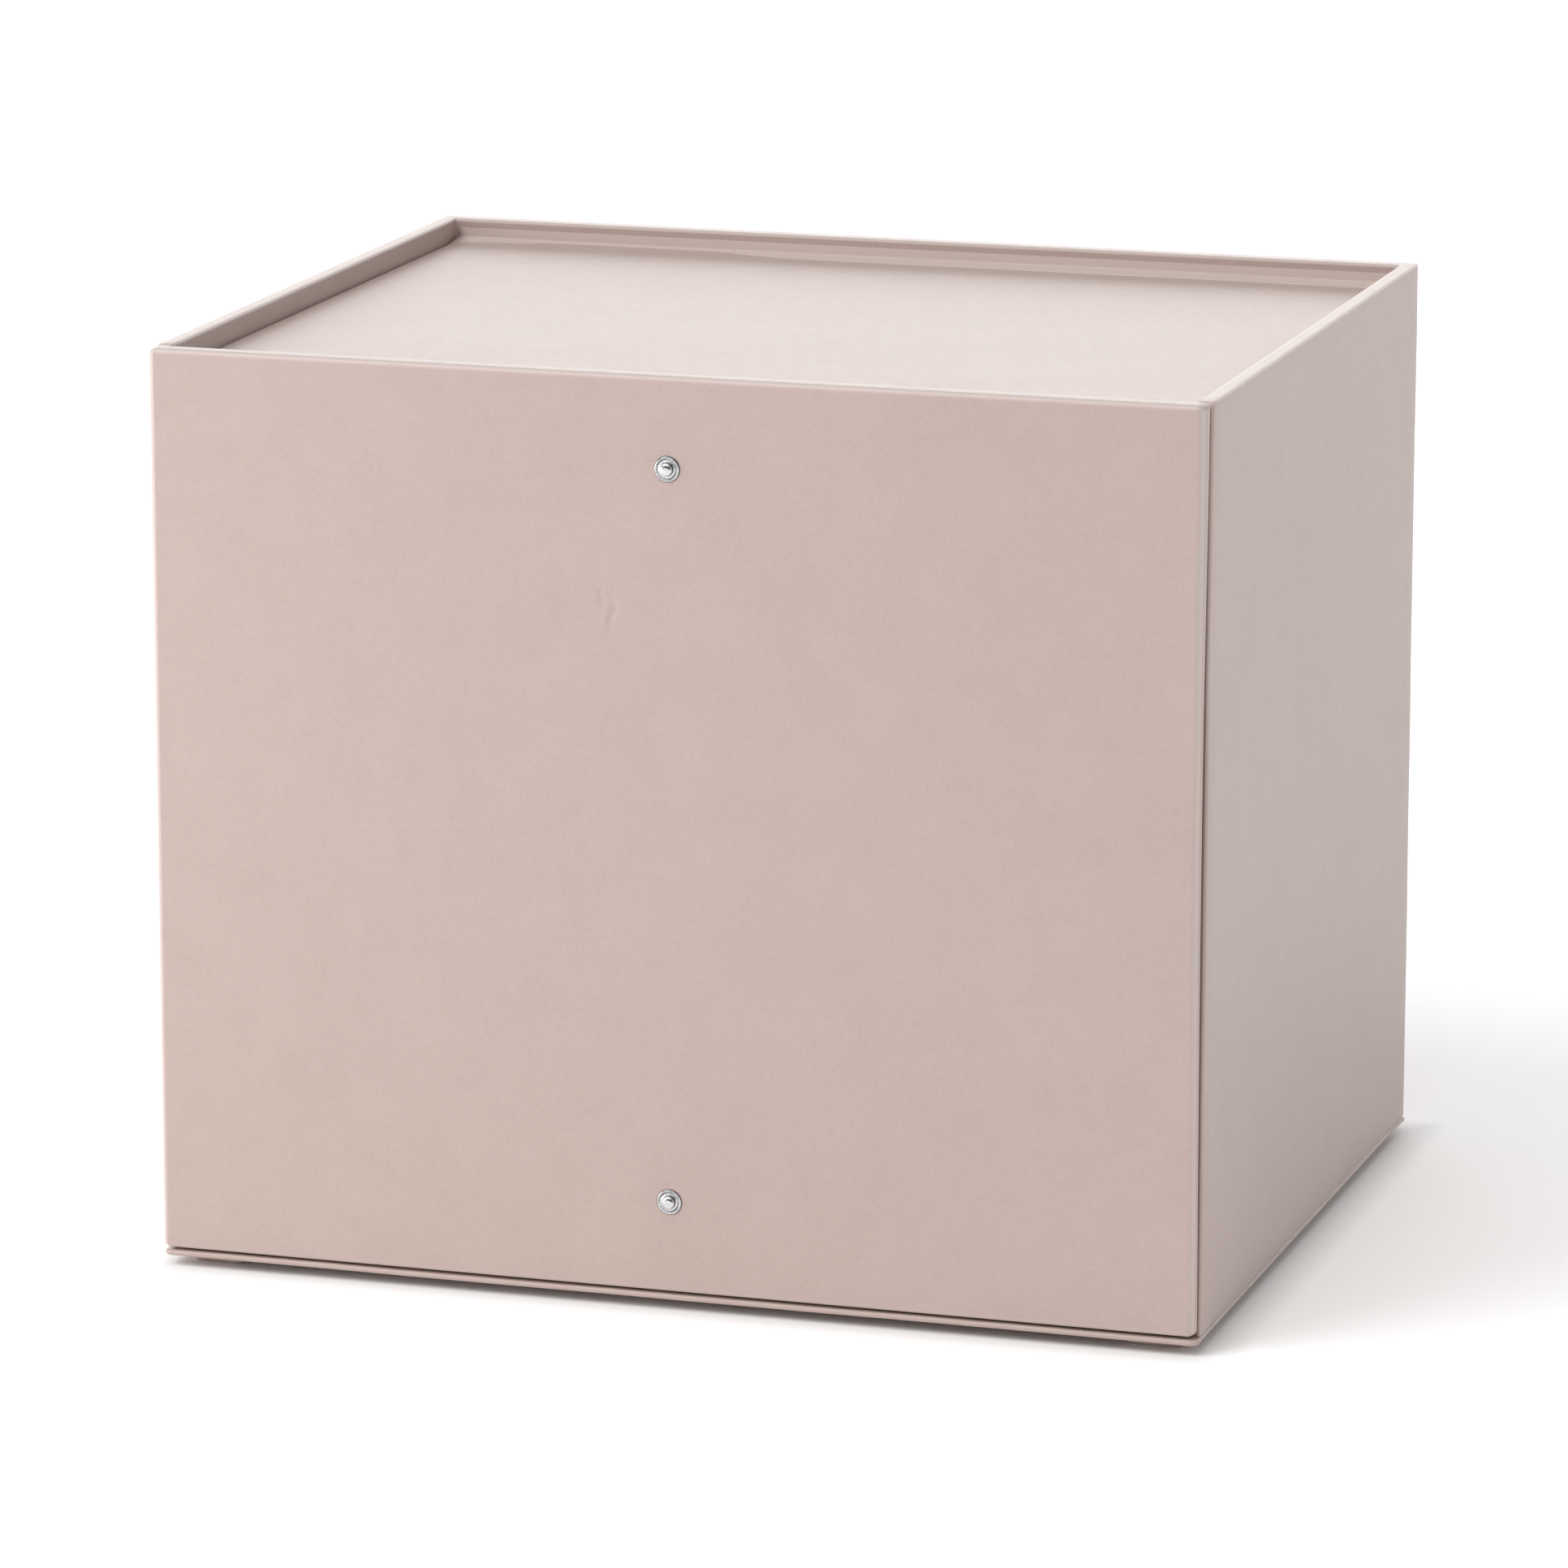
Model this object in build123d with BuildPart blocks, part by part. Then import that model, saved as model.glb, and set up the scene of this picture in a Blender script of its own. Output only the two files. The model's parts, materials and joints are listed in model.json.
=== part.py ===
"""Archival box: covered-board carcass, side-hung front door, recessed lid and press studs.

Units are millimetres.  +Z is up, +X is right and the door faces -Y.  The origin is on the
floor, under the middle of the box.
"""
import os

from build123d import *

# ---- overall sizes ----
box_width = 380.0
box_depth = 310.0  # door face to rear face, without the outer studs
box_height = 331.0  # floor to rim

# ---- board thicknesses, covering included ----
side_wall = 6.0
rear_wall = 8.0
door_thickness = 8.0
lid_thickness = 3.0
base_thickness = 2.0
floor_thickness = 3.0

# ---- covering and lining sheets ----
sheet = 0.5
turn_in = 18.0  # width of covering folded over onto an inner face
edge_radius = 1.1  # outer edges of every covered board

# ---- recess, ledges and rails ----
lid_recess = 8.0  # rim to the top of the lid
lid_side_gap = 1.0
ledge_width = 6.0
ledge_height = 8.0
rail_thickness = 3.0
rail_height = 45.0
rail_edge_radius = 0.6
seat_clearance = 0.3  # lid to what carries it

# ---- door fit ----
door_gap = 1.2  # door to the front ends of the walls and to the lid
door_foot_gap = 0.8  # door to the base below it
door_side_inset = 0.8  # door's free edge, in from the right wall's face
hinge_inset = 0.4  # hinged edges, in from their axes
hinge_cloth_upstand = 4.0  # height of the lid hinge glued up the rear wall

# ---- lid hinge ----
lid_hinge_gap = 1.5  # lid hinge axis to the rear wall

# ---- feet ----
foot_size = 20.0
foot_height = 4.0
foot_clearance = 1.5  # foot to the rim of a box below
foot_corner_radius = 3.0
foot_edge_radius = 0.8

# ---- press studs ----
stud_from_rim = 32.0
stud_from_base = 33.5
flange_radius = 4.6
flange_thickness = 0.7
outer_head_radius = 2.3
outer_head_length = 1.7  # beyond the flange
outer_head_round = 0.6
shank_radius = 1.6
post_radius = 2.2
post_length = 2.0
post_round = 0.4
post_clearance = 0.12  # rail post to the socket around it
socket_radius = 6.0
socket_length = 2.6
socket_floor = 0.6
socket_round = 0.5
socket_air = 0.7  # socket to the rail stud's flange
cap_radius = 5.0
cap_length = 1.2
cap_round = 0.6
cap_floor = 0.6

# ---- places worked out from the sizes above ----
half_width = box_width / 2
stud_proud = flange_thickness + outer_head_length
door_face = -(box_depth - stud_proud) / 2
rear_face = door_face + box_depth
door_back = door_face + door_thickness
wall_front = door_back + door_gap
wall_bottom = foot_height + base_thickness
door_bottom = wall_bottom + door_foot_gap
inner_half = half_width - side_wall
rear_inner = rear_face - rear_wall
door_left = -half_width + hinge_inset
door_right = half_width - door_side_inset

lid_top = box_height - lid_recess
lid_bottom = lid_top - lid_thickness
seat_level = lid_bottom - seat_clearance
lid_half = inner_half - lid_side_gap
lid_axis = rear_inner - lid_hinge_gap
lid_rear = lid_axis - hinge_inset

rail_front = door_back + socket_length + socket_air + flange_thickness
rail_back = rail_front + rail_thickness
floor_top = wall_bottom + floor_thickness
upper_stud_height = box_height - stud_from_rim
lower_stud_height = wall_bottom + stud_from_base
stud_heights = {"upper": upper_stud_height, "lower": lower_stud_height}


def block(low, high, mode=Mode.ADD):
    # Box between two opposite corners, in the part that is being built.
    with Locations(low):
        Box(*(b - a for a, b in zip(low, high)), align=(Align.MIN,) * 3, mode=mode)


def keep(piece, name):
    piece.part.label = name
    export_step(piece.part, f"parts/{name}.step")


def make_block(name, low, high):
    with BuildPart() as piece:
        block(low, high)
    keep(piece, name)


def turned(height, outline):
    # Round piece about a front-to-back axis at this height. The outline is (radius, y) points.
    with BuildPart() as piece:
        with BuildSketch(Plane.XY.offset(height)):
            with BuildLine():
                Polyline(*outline, close=True)
            make_face()
        revolve(axis=Axis((0, 0, height), (0, 1, 0)))
    return piece


os.makedirs("parts", exist_ok=True)

# ---- walls: three boards inside one covering that is folded in over the rim and front ends ----
board_top = box_height - sheet
side_board_inner = inner_half + sheet
for name, inner_x, outer_x in (
    ("left_wall_board", -side_board_inner, sheet - half_width),
    ("right_wall_board", side_board_inner, half_width - sheet),
):
    make_block(
        name,
        (min(inner_x, outer_x), wall_front + sheet, wall_bottom),
        (max(inner_x, outer_x), rear_face - sheet, board_top),
    )
make_block(
    "rear_wall_board",
    (-side_board_inner, rear_inner + sheet, wall_bottom),
    (side_board_inner, rear_face - sheet, board_top),
)

with BuildPart() as body_cover:
    block((-half_width, wall_front, wall_bottom), (half_width, rear_face, box_height))
    block((-inner_half, wall_front, wall_bottom), (inner_half, rear_inner, box_height), Mode.SUBTRACT)
    rim_edges = body_cover.edges().group_by(Axis.Z)[-1]
    upright_edges = body_cover.edges().filter_by(Axis.Z)
    corner_edges = upright_edges.group_by(Axis.Y)[-1] + upright_edges.group_by(Axis.Y)[0]
    fillet(rim_edges + corner_edges, radius=edge_radius)
    # room for the boards
    for side in (-1, 1):
        near, far = sorted((side * side_board_inner, side * (half_width - sheet)))
        block((near, wall_front + sheet, wall_bottom), (far, rear_face - sheet, board_top), Mode.SUBTRACT)
    block(
        (-side_board_inner, rear_inner + sheet, wall_bottom),
        (side_board_inner, rear_face - sheet, board_top),
        Mode.SUBTRACT,
    )
    # room for the linings
    block(
        (-side_board_inner, wall_front + turn_in, wall_bottom),
        (side_board_inner, rear_inner + sheet, box_height - turn_in),
        Mode.SUBTRACT,
    )
keep(body_cover, "body_cover")

lining_top = box_height - turn_in
make_block(
    "left_wall_lining",
    (-side_board_inner, wall_front + turn_in, wall_bottom),
    (-inner_half, rear_inner, lining_top),
)
make_block(
    "right_wall_lining",
    (inner_half, wall_front + turn_in, wall_bottom),
    (side_board_inner, rear_inner, lining_top),
)
make_block(
    "rear_wall_lining",
    (-side_board_inner, rear_inner, wall_bottom),
    (side_board_inner, rear_inner + sheet, lining_top),
)

# ---- base: thin covered board under the walls, with a floor board between them ----
base_low = (-half_width, door_face, foot_height)
base_high = (half_width, rear_face, wall_bottom)
make_block(
    "base_board",
    tuple(value + sheet for value in base_low),
    tuple(value - sheet for value in base_high),
)

with BuildPart() as base_cover:
    block(base_low, base_high)
    base_edges = base_cover.edges()
    fillet(base_edges.filter_by(Axis.Z) + base_edges.group_by(Axis.Z)[0], radius=edge_radius)
    block(
        tuple(value + sheet for value in base_low),
        tuple(value - sheet for value in base_high),
        Mode.SUBTRACT,
    )
    block(
        (turn_in - half_width, door_face + turn_in, wall_bottom - sheet),
        (half_width - turn_in, rear_face - turn_in, wall_bottom),
        Mode.SUBTRACT,
    )
keep(base_cover, "base_cover")

make_block(
    "floor_board", (-inner_half, rail_back, wall_bottom), (inner_half, rear_inner, floor_top - sheet)
)
make_block(
    "floor_lining", (-inner_half, rail_back, floor_top - sheet), (inner_half, rear_inner, floor_top)
)

# ---- feet: low square pads that drop inside the rim of a box below ----
foot_x = half_width - side_wall - foot_clearance - foot_size / 2
foot_front = door_back + foot_clearance + foot_size / 2
foot_rear = rear_inner - foot_clearance - foot_size / 2
for name, x, y in (
    ("front_left_foot", -foot_x, foot_front),
    ("front_right_foot", foot_x, foot_front),
    ("rear_left_foot", -foot_x, foot_rear),
    ("rear_right_foot", foot_x, foot_rear),
):
    with BuildPart() as foot:
        with BuildSketch():
            with Locations((x, y)):
                RectangleRounded(foot_size, foot_size, foot_corner_radius)
        extrude(amount=foot_height)
        fillet(foot.faces().sort_by(Axis.Z)[0].edges(), radius=foot_edge_radius)
    keep(foot, name)

# ---- ledges that carry the lid ----
ledge_bottom = seat_level - ledge_height
make_block(
    "left_lid_ledge",
    (-inner_half, rail_back, ledge_bottom),
    (ledge_width - inner_half, rear_inner - ledge_width, seat_level),
)
make_block(
    "right_lid_ledge",
    (inner_half - ledge_width, rail_back, ledge_bottom),
    (inner_half, rear_inner - ledge_width, seat_level),
)
make_block(
    "rear_lid_ledge",
    (-inner_half, rear_inner - ledge_width, ledge_bottom),
    (inner_half, rear_inner, seat_level),
)

# ---- front rails: fixed cross boards behind the door, each drilled for its rail stud ----
rail_bottoms = {"upper": seat_level - rail_height, "lower": wall_bottom}
for place, rail_bottom in rail_bottoms.items():
    with BuildPart() as rail:
        block(
            (-inner_half, rail_front, rail_bottom),
            (inner_half, rail_back, rail_bottom + rail_height),
        )
        free_end = -1 if place == "lower" else 0
        fillet(rail.edges().filter_by(Axis.X).group_by(Axis.Z)[free_end], radius=rail_edge_radius)
        with BuildSketch(Plane.XZ.offset(-rail_back)):
            with Locations((0, stud_heights[place])):
                Circle(shank_radius)
        extrude(amount=rail_thickness, mode=Mode.SUBTRACT)
    keep(rail, f"{place}_front_rail")

# ---- door: board, covering and lining, drilled for the outer studs ----
door_low = (door_left, door_face, door_bottom)
door_high = (door_right, door_back, box_height)
door_board_low = tuple(value + sheet for value in door_low)
door_board_high = tuple(value - sheet for value in door_high)
door_lining_low = (door_left + turn_in, door_back - sheet, door_bottom + turn_in)
door_lining_high = (door_right - turn_in, door_back, box_height - turn_in)


def drill_door():
    with BuildSketch(Plane.XZ.offset(-door_back)) as holes:
        with Locations(*((0, height) for height in stud_heights.values())):
            Circle(shank_radius)
    extrude(holes.sketch, amount=door_thickness, mode=Mode.SUBTRACT)


with BuildPart() as door_board:
    block(door_board_low, door_board_high)
    drill_door()
keep(door_board, "door_board")

with BuildPart() as door_cover:
    block(door_low, door_high)
    fillet(door_cover.edges(), radius=edge_radius)
    block(door_board_low, door_board_high, Mode.SUBTRACT)
    block(door_lining_low, door_lining_high, Mode.SUBTRACT)
    drill_door()
keep(door_cover, "door_cover")

with BuildPart() as door_lining:
    block(door_lining_low, door_lining_high)
    drill_door()
keep(door_lining, "door_lining")

# ---- lid: board, covering and lining ----
lid_low = (-lid_half, wall_front, lid_bottom)
lid_high = (lid_half, lid_rear, lid_top)
lid_board_low = tuple(value + sheet for value in lid_low)
lid_board_high = tuple(value - sheet for value in lid_high)
lid_lining_low = (turn_in - lid_half, wall_front + turn_in, lid_bottom)
lid_lining_high = (lid_half - turn_in, lid_rear - turn_in, lid_bottom + sheet)
make_block("lid_board", lid_board_low, lid_board_high)

with BuildPart() as lid_cover:
    block(lid_low, lid_high)
    fillet(lid_cover.edges(), radius=edge_radius)
    block(lid_board_low, lid_board_high, Mode.SUBTRACT)
    block(lid_lining_low, lid_lining_high, Mode.SUBTRACT)
keep(lid_cover, "lid_cover")

make_block("lid_lining", lid_lining_low, lid_lining_high)

# ---- covering hinges: the strips that bend when the door and the lid move ----
hinge_cloth_left = edge_radius - half_width
make_block(
    "door_hinge_cloth",
    (hinge_cloth_left, door_back, door_bottom + edge_radius),
    (hinge_cloth_left + sheet, wall_front, box_height - edge_radius),
)

hinge_cloth_top = lid_top - edge_radius
with BuildPart() as lid_hinge_cloth:
    with BuildSketch(Plane.YZ.offset(-lid_half)):
        with BuildLine():
            Polyline(
                (lid_rear, hinge_cloth_top),
                (rear_inner - sheet, hinge_cloth_top),
                (rear_inner - sheet, lid_top + hinge_cloth_upstand),
                (rear_inner, lid_top + hinge_cloth_upstand),
                (rear_inner, hinge_cloth_top - sheet),
                (lid_rear, hinge_cloth_top - sheet),
                close=True,
            )
        make_face()
    extrude(amount=2 * lid_half)
keep(lid_hinge_cloth, "lid_hinge_cloth")

# ---- press studs: outer stud, riveted through the door into the socket behind it ----
post_face = rail_front - flange_thickness
socket_mouth = door_back + socket_length
cap_end = rail_back + cap_length
cap_seat = cap_end - cap_floor
for place, height in stud_heights.items():
    head_end = door_face - stud_proud
    outer_stud = turned(
        height,
        (
            (0, head_end),
            (outer_head_radius, head_end),
            (outer_head_radius, door_face - flange_thickness),
            (flange_radius, door_face - flange_thickness),
            (flange_radius, door_face),
            (shank_radius, door_face),
            (shank_radius, door_back + socket_floor),
            (0, door_back + socket_floor),
        ),
    )
    with outer_stud:
        fillet(
            outer_stud.edges().filter_by(GeomType.CIRCLE).group_by(Axis.Y)[0],
            radius=outer_head_round,
        )
    keep(outer_stud, f"{place}_outer_stud")

    socket_bore = post_radius + post_clearance
    socket = turned(
        height,
        (
            (shank_radius, door_back),
            (socket_radius, door_back),
            (socket_radius, socket_mouth),
            (socket_bore, socket_mouth),
            (socket_bore, door_back + socket_floor),
            (shank_radius, door_back + socket_floor),
        ),
    )
    with socket:
        mouth_edges = socket.edges().filter_by(GeomType.CIRCLE).group_by(Axis.Y)[-1]
        fillet(mouth_edges.sort_by(SortBy.RADIUS)[-1], radius=socket_round)
    keep(socket, f"{place}_socket")

    rail_stud = turned(
        height,
        (
            (0, post_face - post_length),
            (post_radius, post_face - post_length),
            (post_radius, post_face),
            (flange_radius, post_face),
            (flange_radius, rail_front),
            (shank_radius, rail_front),
            (shank_radius, cap_seat),
            (0, cap_seat),
        ),
    )
    with rail_stud:
        fillet(
            rail_stud.edges().filter_by(GeomType.CIRCLE).group_by(Axis.Y)[0], radius=post_round
        )
    keep(rail_stud, f"{place}_rail_stud")

    rail_cap = turned(
        height,
        (
            (shank_radius, rail_back),
            (cap_radius, rail_back),
            (cap_radius, cap_end),
            (0, cap_end),
            (0, cap_seat),
            (shank_radius, cap_seat),
        ),
    )
    with rail_cap:
        fillet(
            rail_cap.edges().filter_by(GeomType.CIRCLE).group_by(Axis.Y)[-1], radius=cap_round
        )
    keep(rail_cap, f"{place}_rail_cap")
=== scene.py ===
import json
import math

import bmesh
import bpy
import numpy as np
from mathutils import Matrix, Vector


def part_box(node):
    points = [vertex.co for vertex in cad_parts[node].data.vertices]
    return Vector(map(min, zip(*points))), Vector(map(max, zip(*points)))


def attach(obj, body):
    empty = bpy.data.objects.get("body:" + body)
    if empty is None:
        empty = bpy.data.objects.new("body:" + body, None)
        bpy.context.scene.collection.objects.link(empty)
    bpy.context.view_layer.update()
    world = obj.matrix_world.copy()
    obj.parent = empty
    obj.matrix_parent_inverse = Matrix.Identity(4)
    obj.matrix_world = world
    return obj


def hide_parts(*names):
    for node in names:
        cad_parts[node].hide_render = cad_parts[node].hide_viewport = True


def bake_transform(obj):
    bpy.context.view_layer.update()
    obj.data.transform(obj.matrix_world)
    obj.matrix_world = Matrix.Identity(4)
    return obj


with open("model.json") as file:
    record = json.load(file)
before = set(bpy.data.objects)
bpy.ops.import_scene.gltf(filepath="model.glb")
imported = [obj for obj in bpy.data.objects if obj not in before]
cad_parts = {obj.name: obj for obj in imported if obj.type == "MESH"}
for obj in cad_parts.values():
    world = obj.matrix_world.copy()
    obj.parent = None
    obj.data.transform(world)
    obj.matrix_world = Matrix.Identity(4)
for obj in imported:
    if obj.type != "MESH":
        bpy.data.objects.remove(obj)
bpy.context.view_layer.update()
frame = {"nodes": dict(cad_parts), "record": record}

mm = 0.001
calmMargin = 25 * mm  # the unevenness fades out this far from an edge
print("frame loaded:", len(frame["nodes"]), "nodes")


# Camera
cameraSettings = {
    "azimuth": 17.40,  # degrees round to the right
    "elevation": 12.92,
    "target": (-0.0064, 0.0, 0.1547),
    "distance": 3.0007,
    "lens": 190.0,
}


def makeCamera():
    s = cameraSettings
    a, e = math.radians(s["azimuth"]), math.radians(s["elevation"])
    back = Vector((math.sin(a) * math.cos(e), -math.cos(a) * math.cos(e), math.sin(e)))
    data = bpy.data.cameras.new("camera")
    data.lens = s["lens"]
    data.sensor_width = 36
    data.clip_start, data.clip_end = 0.1, 60
    camera = bpy.data.objects.new("camera", data)
    camera.location = Vector(s["target"]) + back * s["distance"]
    camera.rotation_mode = "QUATERNION"
    camera.rotation_quaternion = (-back).to_track_quat("-Z", "Y")
    bpy.context.collection.objects.link(camera)
    bpy.context.scene.camera = camera


# Finishes
coveringSettings = {
    "colour": (0.476, 0.372, 0.338),
    "shade": (0.456, 0.355, 0.321),  # the darker part of the slow mottling
    "paintedHighlightAndRub": (0.600, 0.500, 0.465),  # painted highlight along the folded edges and rim tops, partly rub wear; also lightens the hinge folds
    "pore": (0.395, 0.300, 0.268),
    "roughness": (0.36, 0.41),
    "grain": 1500,  # pebbles per metre
    "grainHeight": 0.05,
    "mottle": 55,
}
liningSettings = {"colour": (0.500, 0.446, 0.398), "flecks": (0.455, 0.402, 0.354), "roughness": (0.72, 0.86)}
boardSettings = {"colour": (0.215, 0.200, 0.180), "flecks": (0.110, 0.101, 0.090), "roughness": (0.80, 0.95)}
# paintedShade: near-black painted into the studs' grooves, neck and flange rim
platingSettings = {
    "colour": (0.70, 0.70, 0.71), "stain": (0.60, 0.60, 0.61),
    "paintedShade": (0.035, 0.033, 0.030), "roughness": (0.05, 0.12),
}
nickelSettings = {
    "colour": (0.66, 0.65, 0.63), "stain": (0.52, 0.51, 0.49),
    "paintedShade": (0.035, 0.033, 0.030), "roughness": (0.22, 0.36),
}


def newFinish(name):
    finish = bpy.data.materials.new(name)
    finish.use_nodes = True
    nodes, links = finish.node_tree.nodes, finish.node_tree.links
    shader = nodes["Principled BSDF"]
    place = nodes.new("ShaderNodeTexCoord")
    return finish, nodes, links, shader, place.outputs["Object"]


def addNoise(nodes, links, place, scale, detail=3.0, rough=0.5):
    node = nodes.new("ShaderNodeTexNoise")
    node.inputs["Scale"].default_value = scale
    node.inputs["Detail"].default_value = detail
    node.inputs["Roughness"].default_value = rough
    links.new(place, node.inputs["Vector"])
    return node.outputs["Fac"]


def addRange(nodes, links, value, low, high, fromLow=0.3, fromHigh=0.7):
    node = nodes.new("ShaderNodeMapRange")
    node.inputs["From Min"].default_value = fromLow
    node.inputs["From Max"].default_value = fromHigh
    node.inputs["To Min"].default_value = low
    node.inputs["To Max"].default_value = high
    links.new(value, node.inputs["Value"])
    return node.outputs["Result"]


def addMix(nodes, links, factor, first, second):
    node = nodes.new("ShaderNodeMix")
    node.data_type = "RGBA"
    links.new(factor, node.inputs["Factor"])
    for socket, colour in ((node.inputs[6], first), (node.inputs[7], second)):
        if isinstance(colour, tuple):
            socket.default_value = (*colour, 1)
        else:
            links.new(colour, socket)
    return node.outputs[2]


def addMath(nodes, links, operation, first, second=None):
    node = nodes.new("ShaderNodeMath")
    node.operation = operation
    links.new(first, node.inputs[0])
    if isinstance(second, float):
        node.inputs[1].default_value = second
    elif second is not None:
        links.new(second, node.inputs[1])
    return node.outputs["Value"]


def addBump(nodes, links, height, strength, distance, under=None):
    node = nodes.new("ShaderNodeBump")
    node.inputs["Strength"].default_value = strength
    node.inputs["Distance"].default_value = distance
    links.new(height, node.inputs["Height"])
    if under is not None:
        links.new(under, node.inputs["Normal"])
    return node.outputs["Normal"]


def makeCovering():
    # Leatherette: fine pebbled grain, slow mottling, and a painted highlight that makes the folded edges a little
    # lighter, partly as rub wear.
    s = coveringSettings
    finish, nodes, links, shader, place = newFinish("leatherette")
    slow = addNoise(nodes, links, place, s["mottle"], 4, 0.6)
    colour = addMix(nodes, links, addRange(nodes, links, slow, 0, 1), s["shade"], s["colour"])
    speck = addNoise(nodes, links, place, s["grain"] / 2, 2, 0.7)
    colour = addMix(nodes, links, addRange(nodes, links, speck, 0.30, 0, 0.3, 0.55), colour, s["pore"])
    # painted highlight: folded edges, rim tops and hinge folds are mixed towards a lighter colour, partly as rub wear
    rub = nodes.new("ShaderNodeAttribute")
    rub.attribute_name = "rub"
    colour = addMix(nodes, links, rub.outputs["Fac"], colour, s["paintedHighlightAndRub"])
    links.new(colour, shader.inputs["Base Color"])
    satin = addNoise(nodes, links, place, s["mottle"] * 4, 2)
    links.new(addRange(nodes, links, satin, *s["roughness"]), shader.inputs["Roughness"])
    pebble = nodes.new("ShaderNodeTexVoronoi")
    pebble.feature = "SMOOTH_F1"
    pebble.inputs["Scale"].default_value = s["grain"]
    links.new(place, pebble.inputs["Vector"])
    soft = addNoise(nodes, links, place, s["grain"] / 4, 3, 0.6)
    normal = addBump(nodes, links, pebble.outputs["Distance"], 0.5, s["grainHeight"] * mm)
    normal = addBump(nodes, links, soft, 0.45, 2 * s["grainHeight"] * mm, normal)
    links.new(normal, shader.inputs["Normal"])
    return finish


def makePaper(name, s, scale, bump):
    finish, nodes, links, shader, place = newFinish(name)
    fleck = addNoise(nodes, links, place, scale, 5, 0.65)
    colour = addMix(nodes, links, addRange(nodes, links, fleck, 0, 1), s["flecks"], s["colour"])
    links.new(colour, shader.inputs["Base Color"])
    cloud = addNoise(nodes, links, place, scale / 8, 2)
    links.new(addRange(nodes, links, cloud, *s["roughness"]), shader.inputs["Roughness"])
    links.new(addBump(nodes, links, fleck, 0.4, bump), shader.inputs["Normal"])
    return finish


def makePlating(name, s):
    finish, nodes, links, shader, place = newFinish(name)
    shader.inputs["Metallic"].default_value = 1
    cloud = addNoise(nodes, links, place, 900, 3)
    colour = addMix(nodes, links, addRange(nodes, links, cloud, 0, 1), s["stain"], s["colour"])
    # painted shade: the studs' grooves, neck and flange rim are mixed towards near-black
    paintedShade = nodes.new("ShaderNodeAttribute")
    paintedShade.attribute_name = "rub"
    colour = addMix(nodes, links, paintedShade.outputs["Fac"], colour, s["paintedShade"])
    links.new(colour, shader.inputs["Base Color"])
    scratch = addNoise(nodes, links, place, 3500, 2)
    links.new(addRange(nodes, links, scratch, *s["roughness"]), shader.inputs["Roughness"])
    links.new(addBump(nodes, links, scratch, 0.08, 0.01 * mm), shader.inputs["Normal"])
    return finish


# Mesh making
def meshFrom(name, points, faces, rub=None):
    mesh = bpy.data.meshes.new(name)
    mesh.from_pydata([tuple(p) for p in points], [], faces)
    work = bmesh.new()
    work.from_mesh(mesh)
    bmesh.ops.recalc_face_normals(work, faces=work.faces)
    work.to_mesh(mesh)
    work.free()
    mesh.shade_smooth()
    if rub is not None:
        # per-point mask: on the covering it holds painted highlight with some rub wear, on the studs painted shade
        layer = mesh.attributes.new("rub", "FLOAT", "POINT")
        layer.data.foreach_set("value", np.asarray(rub, np.float32))
    piece = bpy.data.objects.new(name, mesh)
    bpy.context.collection.objects.link(piece)
    return piece


def ringFaces(rings, n):
    # Quads between rings of n points each, one ring after the next.
    faces = []
    for j in range(rings - 1):
        for k in range(n):
            k2 = (k + 1) % n
            faces.append((j * n + k, j * n + k2, (j + 1) * n + k2, (j + 1) * n + k))
    return faces


def smooth(t):
    t = np.clip(t, 0, 1)
    return t * t * (3 - 2 * t)


def ripple(a, b, seed):
    # Slow unevenness of hand-laid covering, about -1 to 1.
    value = np.sin(a * 23 + b * 11 + seed) + np.sin(a * 13 - b * 31 + 2.1 * seed)
    value += 0.6 * np.sin(a * 61 + b * 47 + 3.7 * seed) + 0.5 * np.sin(b * 83 - a * 29 + 1.3 * seed)
    return value / 3.1


def meshLines(length, corner, edge, spacing, cuts=()):
    # Places of the mesh lines across a panel: close together round the edge, wide in the middle.
    steps = 5
    near = [edge * (1 - math.cos(k * math.pi / 2 / steps)) for k in range(steps + 1)]
    near += [edge + (corner - edge) * k / 3 for k in (1, 2, 3)] if corner > edge else []
    inner = length - 2 * near[-1]
    count = max(2, round(inner / spacing))
    places = near + [near[-1] + inner * k / count for k in range(1, count)]
    places += [length - v for v in near] + list(cuts)
    return np.array(sorted(set(round(v, 7) for v in places)))


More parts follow.
